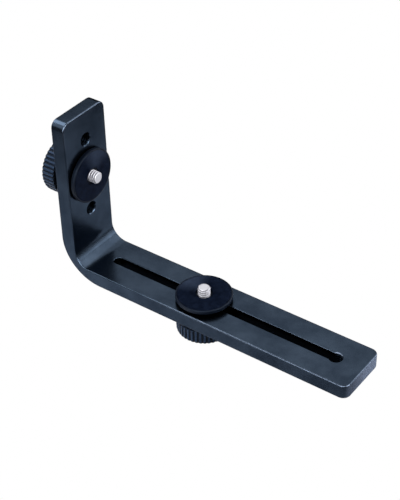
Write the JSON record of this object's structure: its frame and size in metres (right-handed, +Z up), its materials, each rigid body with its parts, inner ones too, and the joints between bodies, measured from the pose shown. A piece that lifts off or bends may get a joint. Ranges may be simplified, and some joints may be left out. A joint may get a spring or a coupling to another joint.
{
  "type": "camera bracket",
  "caption": "L-shaped camera bracket: slotted flat bar bent upright, with captive thumbscrews that carry a camera and a light.",
  "frame": {"origin": "under the middle of the whole bracket, level with the outer face of the slot thumbscrew's knob", "axes": "+X along the long arm away from the upright, +Y across the bar, +Z up the upright"},
  "size_m": [0.1756, 0.03, 0.0988],
  "materials": {
    "anodised_bar": "satin black anodised",
    "moulded_plastic": "fine moulded texture, black",
    "plated_steel": "bright nickel plate on a rolled thread",
    "nylon_washer": "smooth black nylon",
    "rubber_facing": "matt black rubber"
  },
  "bodies": {
    "bar": {"bracket_bar": "anodised_bar"},
    "slot_washer": {"slot_screw_friction_washer": "nylon_washer"},
    "slot_screw": {"slot_screw_knob": "moulded_plastic", "slot_screw_stud": "plated_steel"},
    "slot_disc": {"slot_screw_lock_disc": "moulded_plastic", "slot_screw_rubber_facing": "rubber_facing"},
    "upright_washer": {"upright_screw_friction_washer": "nylon_washer"},
    "upright_screw": {"upright_screw_knob": "moulded_plastic", "upright_screw_stud": "plated_steel"},
    "upright_disc": {"upright_screw_lock_disc": "moulded_plastic", "upright_screw_rubber_facing": "rubber_facing"}
  },
  "joints": [
    {"name": "slot_screw_travel", "type": "slide", "parent": "bar", "child": "slot_washer", "axis": [1, 0, 0], "range_m": [-0.05, 0.074]},
    {"name": "slot_screw_turn", "type": "hinge", "parent": "slot_washer", "child": "slot_screw", "pos_m": [-0.00095, 0, 0.0099], "axis": [0, 0, 1], "continuous": true},
    {"name": "slot_disc_along_thread", "type": "slide", "parent": "slot_screw", "child": "slot_disc", "axis": [0, 0, 1], "range_m": [0, 0.0028]},
    {"name": "upright_screw_play", "type": "slide", "parent": "bar", "child": "upright_washer", "axis": [1, 0, 0], "range_m": [-0.0005, 0.0008]},
    {"name": "upright_screw_turn", "type": "hinge", "parent": "upright_washer", "child": "upright_screw", "pos_m": [-0.07695, 0, 0.0639], "axis": [1, 0, 0], "continuous": true},
    {"name": "upright_disc_along_thread", "type": "slide", "parent": "upright_screw", "child": "upright_disc", "axis": [1, 0, 0], "range_m": [0, 0.0028]}
  ]
}
